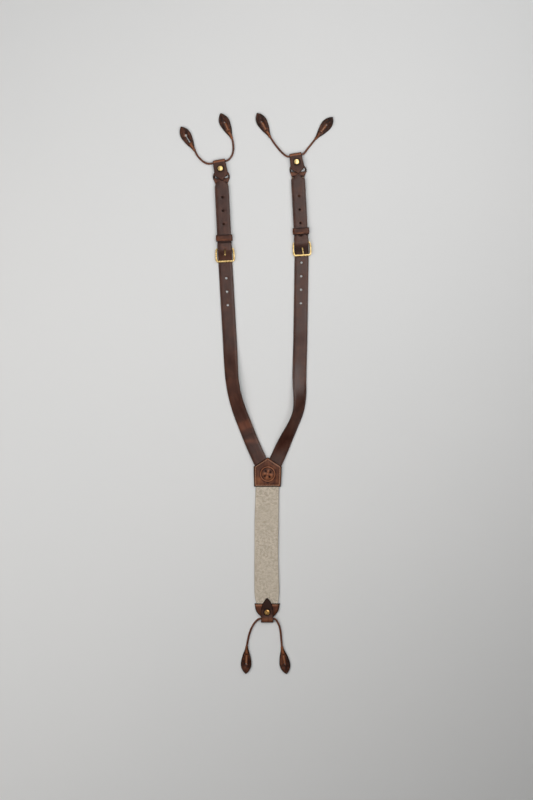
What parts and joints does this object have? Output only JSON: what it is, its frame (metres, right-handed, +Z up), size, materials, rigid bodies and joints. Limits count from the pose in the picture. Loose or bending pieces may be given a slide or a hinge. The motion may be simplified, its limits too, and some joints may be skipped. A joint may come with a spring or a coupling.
{
  "type": "button-on suspenders",
  "caption": "Y-back button-on leather suspenders laid flat, with brass buckles, a yoke patch, elastic back webbing and rolled leather button tabs.",
  "frame": {"origin": "under the middle of the layout's bounding box, on the surface it lies on", "axes": "+Y towards the front button tabs, +X to the right seen from above, +Z up out of the layout"},
  "size_m": [0.2713, 0.9987, 0.0251],
  "materials": {
    "strap_leather": "dark brown vegetable-tanned leather, waxed, fine grain, burnished edges",
    "warm_leather": "red-brown pull-up leather with lighter rub marks and dark edges",
    "tab_leather": "dark brown waxed leather",
    "cord_leather": "rolled reddish brown leather with a seam on its underside",
    "brass": "polished solid brass, lightly aged",
    "elastic": "greige woven elastic webbing with a fine herringbone",
    "thread": "waxed brown thread"
  },
  "bodies": {
    "back": {"yoke_front_patch": "warm_leather", "yoke_back_patch": "warm_leather", "yoke_stitching": "thread", "elastic_webbing": "elastic", "left_rear_strap": "strap_leather", "right_rear_strap": "strap_leather"},
    "left_front_end": {"left_front_strap": "strap_leather", "left_billet": "warm_leather", "left_bar_stitches": "thread"},
    "left_buckle": {"left_buckle_frame": "brass"},
    "left_prong": {"left_buckle_prong": "brass"},
    "left_keeper_loop": {"left_keeper": "warm_leather"},
    "left_hanger_assembly": {"left_hanger": "warm_leather", "left_screw_cap": "brass", "left_screw_post": "brass"},
    "left_cord": {"left_rolled_cord": "cord_leather", "left_outer_tab": "tab_leather", "left_outer_tab_lining": "warm_leather", "left_inner_tab": "tab_leather", "left_inner_tab_lining": "warm_leather"},
    "right_front_end": {"right_front_strap": "strap_leather", "right_billet": "warm_leather", "right_bar_stitches": "thread"},
    "right_buckle": {"right_buckle_frame": "brass"},
    "right_prong": {"right_buckle_prong": "brass"},
    "right_keeper_loop": {"right_keeper": "warm_leather"},
    "right_hanger_assembly": {"right_hanger": "warm_leather", "right_screw_cap": "brass", "right_screw_post": "brass"},
    "right_cord": {"right_rolled_cord": "cord_leather", "right_outer_tab": "tab_leather", "right_outer_tab_lining": "warm_leather", "right_inner_tab": "tab_leather", "right_inner_tab_lining": "warm_leather"},
    "rear_end": {"end_cap_front": "warm_leather", "end_cap_back": "warm_leather", "end_cap_stitching": "thread", "rear_screw_cap": "brass", "rear_screw_post": "brass"},
    "rear_cord": {"rear_rolled_cord": "cord_leather", "rear_left_tab": "tab_leather", "rear_left_tab_lining": "warm_leather", "rear_right_tab": "tab_leather", "rear_right_tab_lining": "warm_leather"}
  },
  "joints": [
    {"name": "left_shoulder_fold", "type": "hinge", "parent": "back", "child": "left_front_end", "pos_m": [-0.04848, 0.09604, 0.0024], "axis": [0.9984, 0.0558, 0], "range_deg": [0, 120]},
    {"name": "left_buckle_tilt", "type": "hinge", "parent": "left_front_end", "child": "left_buckle", "pos_m": [-0.0574, 0.2574, 0.0033], "axis": [-0.9989, -0.0471, 0], "range_deg": [0, 20]},
    {"name": "left_prong_pivot", "type": "hinge", "parent": "left_buckle", "child": "left_prong", "pos_m": [-0.0574, 0.2574, 0.0033], "axis": [-0.9989, -0.0471, 0], "range_deg": [-49, 10]},
    {"name": "left_keeper_slide", "type": "slide", "parent": "left_front_end", "child": "left_keeper_loop", "axis": [-0.0471, 0.9989, 0], "range_m": [-0.002, 0.082]},
    {"name": "left_hanger_swivel", "type": "hinge", "parent": "left_front_end", "child": "left_hanger_assembly", "pos_m": [-0.06381, 0.39325, 0.0044], "axis": [0, 0, 1], "range_deg": [-16, 1]},
    {"name": "left_cord_swing", "type": "hinge", "parent": "left_hanger_assembly", "child": "left_cord", "pos_m": [-0.06736, 0.41242, 0.0035], "axis": [0.9833, 0.1822, 0], "range_deg": [0, 120]},
    {"name": "right_shoulder_fold", "type": "hinge", "parent": "back", "child": "right_front_end", "pos_m": [0.07699, 0.09556, 0.0024], "axis": [0.9999, -0.0157, 0], "range_deg": [0, 120]},
    {"name": "right_buckle_tilt", "type": "hinge", "parent": "right_front_end", "child": "right_buckle", "pos_m": [0.0789, 0.2691, 0.0033], "axis": [-0.9986, -0.0523, 0], "range_deg": [0, 20]},
    {"name": "right_prong_pivot", "type": "hinge", "parent": "right_buckle", "child": "right_prong", "pos_m": [0.0789, 0.2691, 0.0033], "axis": [-0.9986, -0.0523, 0], "range_deg": [0, 60]},
    {"name": "right_keeper_slide", "type": "slide", "parent": "right_front_end", "child": "right_keeper_loop", "axis": [-0.0523, 0.9986, 0], "range_m": [-0.002, 0.082]},
    {"name": "right_hanger_swivel", "type": "hinge", "parent": "right_front_end", "child": "right_hanger_assembly", "pos_m": [0.07178, 0.40491, 0.0044], "axis": [0, 0, 1], "range_deg": [-15, 2]},
    {"name": "right_cord_swing", "type": "hinge", "parent": "right_hanger_assembly", "child": "right_cord", "pos_m": [0.06856, 0.42415, 0.0035], "axis": [0.9863, 0.165, 0], "range_deg": [0, 120]},
    {"name": "elastic_stretch", "type": "slide", "parent": "back", "child": "rear_end", "axis": [0, -1, 0], "range_m": [0, 0.09], "stiffness_N_per_m": 300, "deforming": ["elastic_webbing"]},
    {"name": "rear_cord_swing", "type": "hinge", "parent": "rear_end", "child": "rear_cord", "pos_m": [0.018, -0.3997, 0.0035], "axis": [-1, 0, 0], "range_deg": [0, 120]}
  ]
}
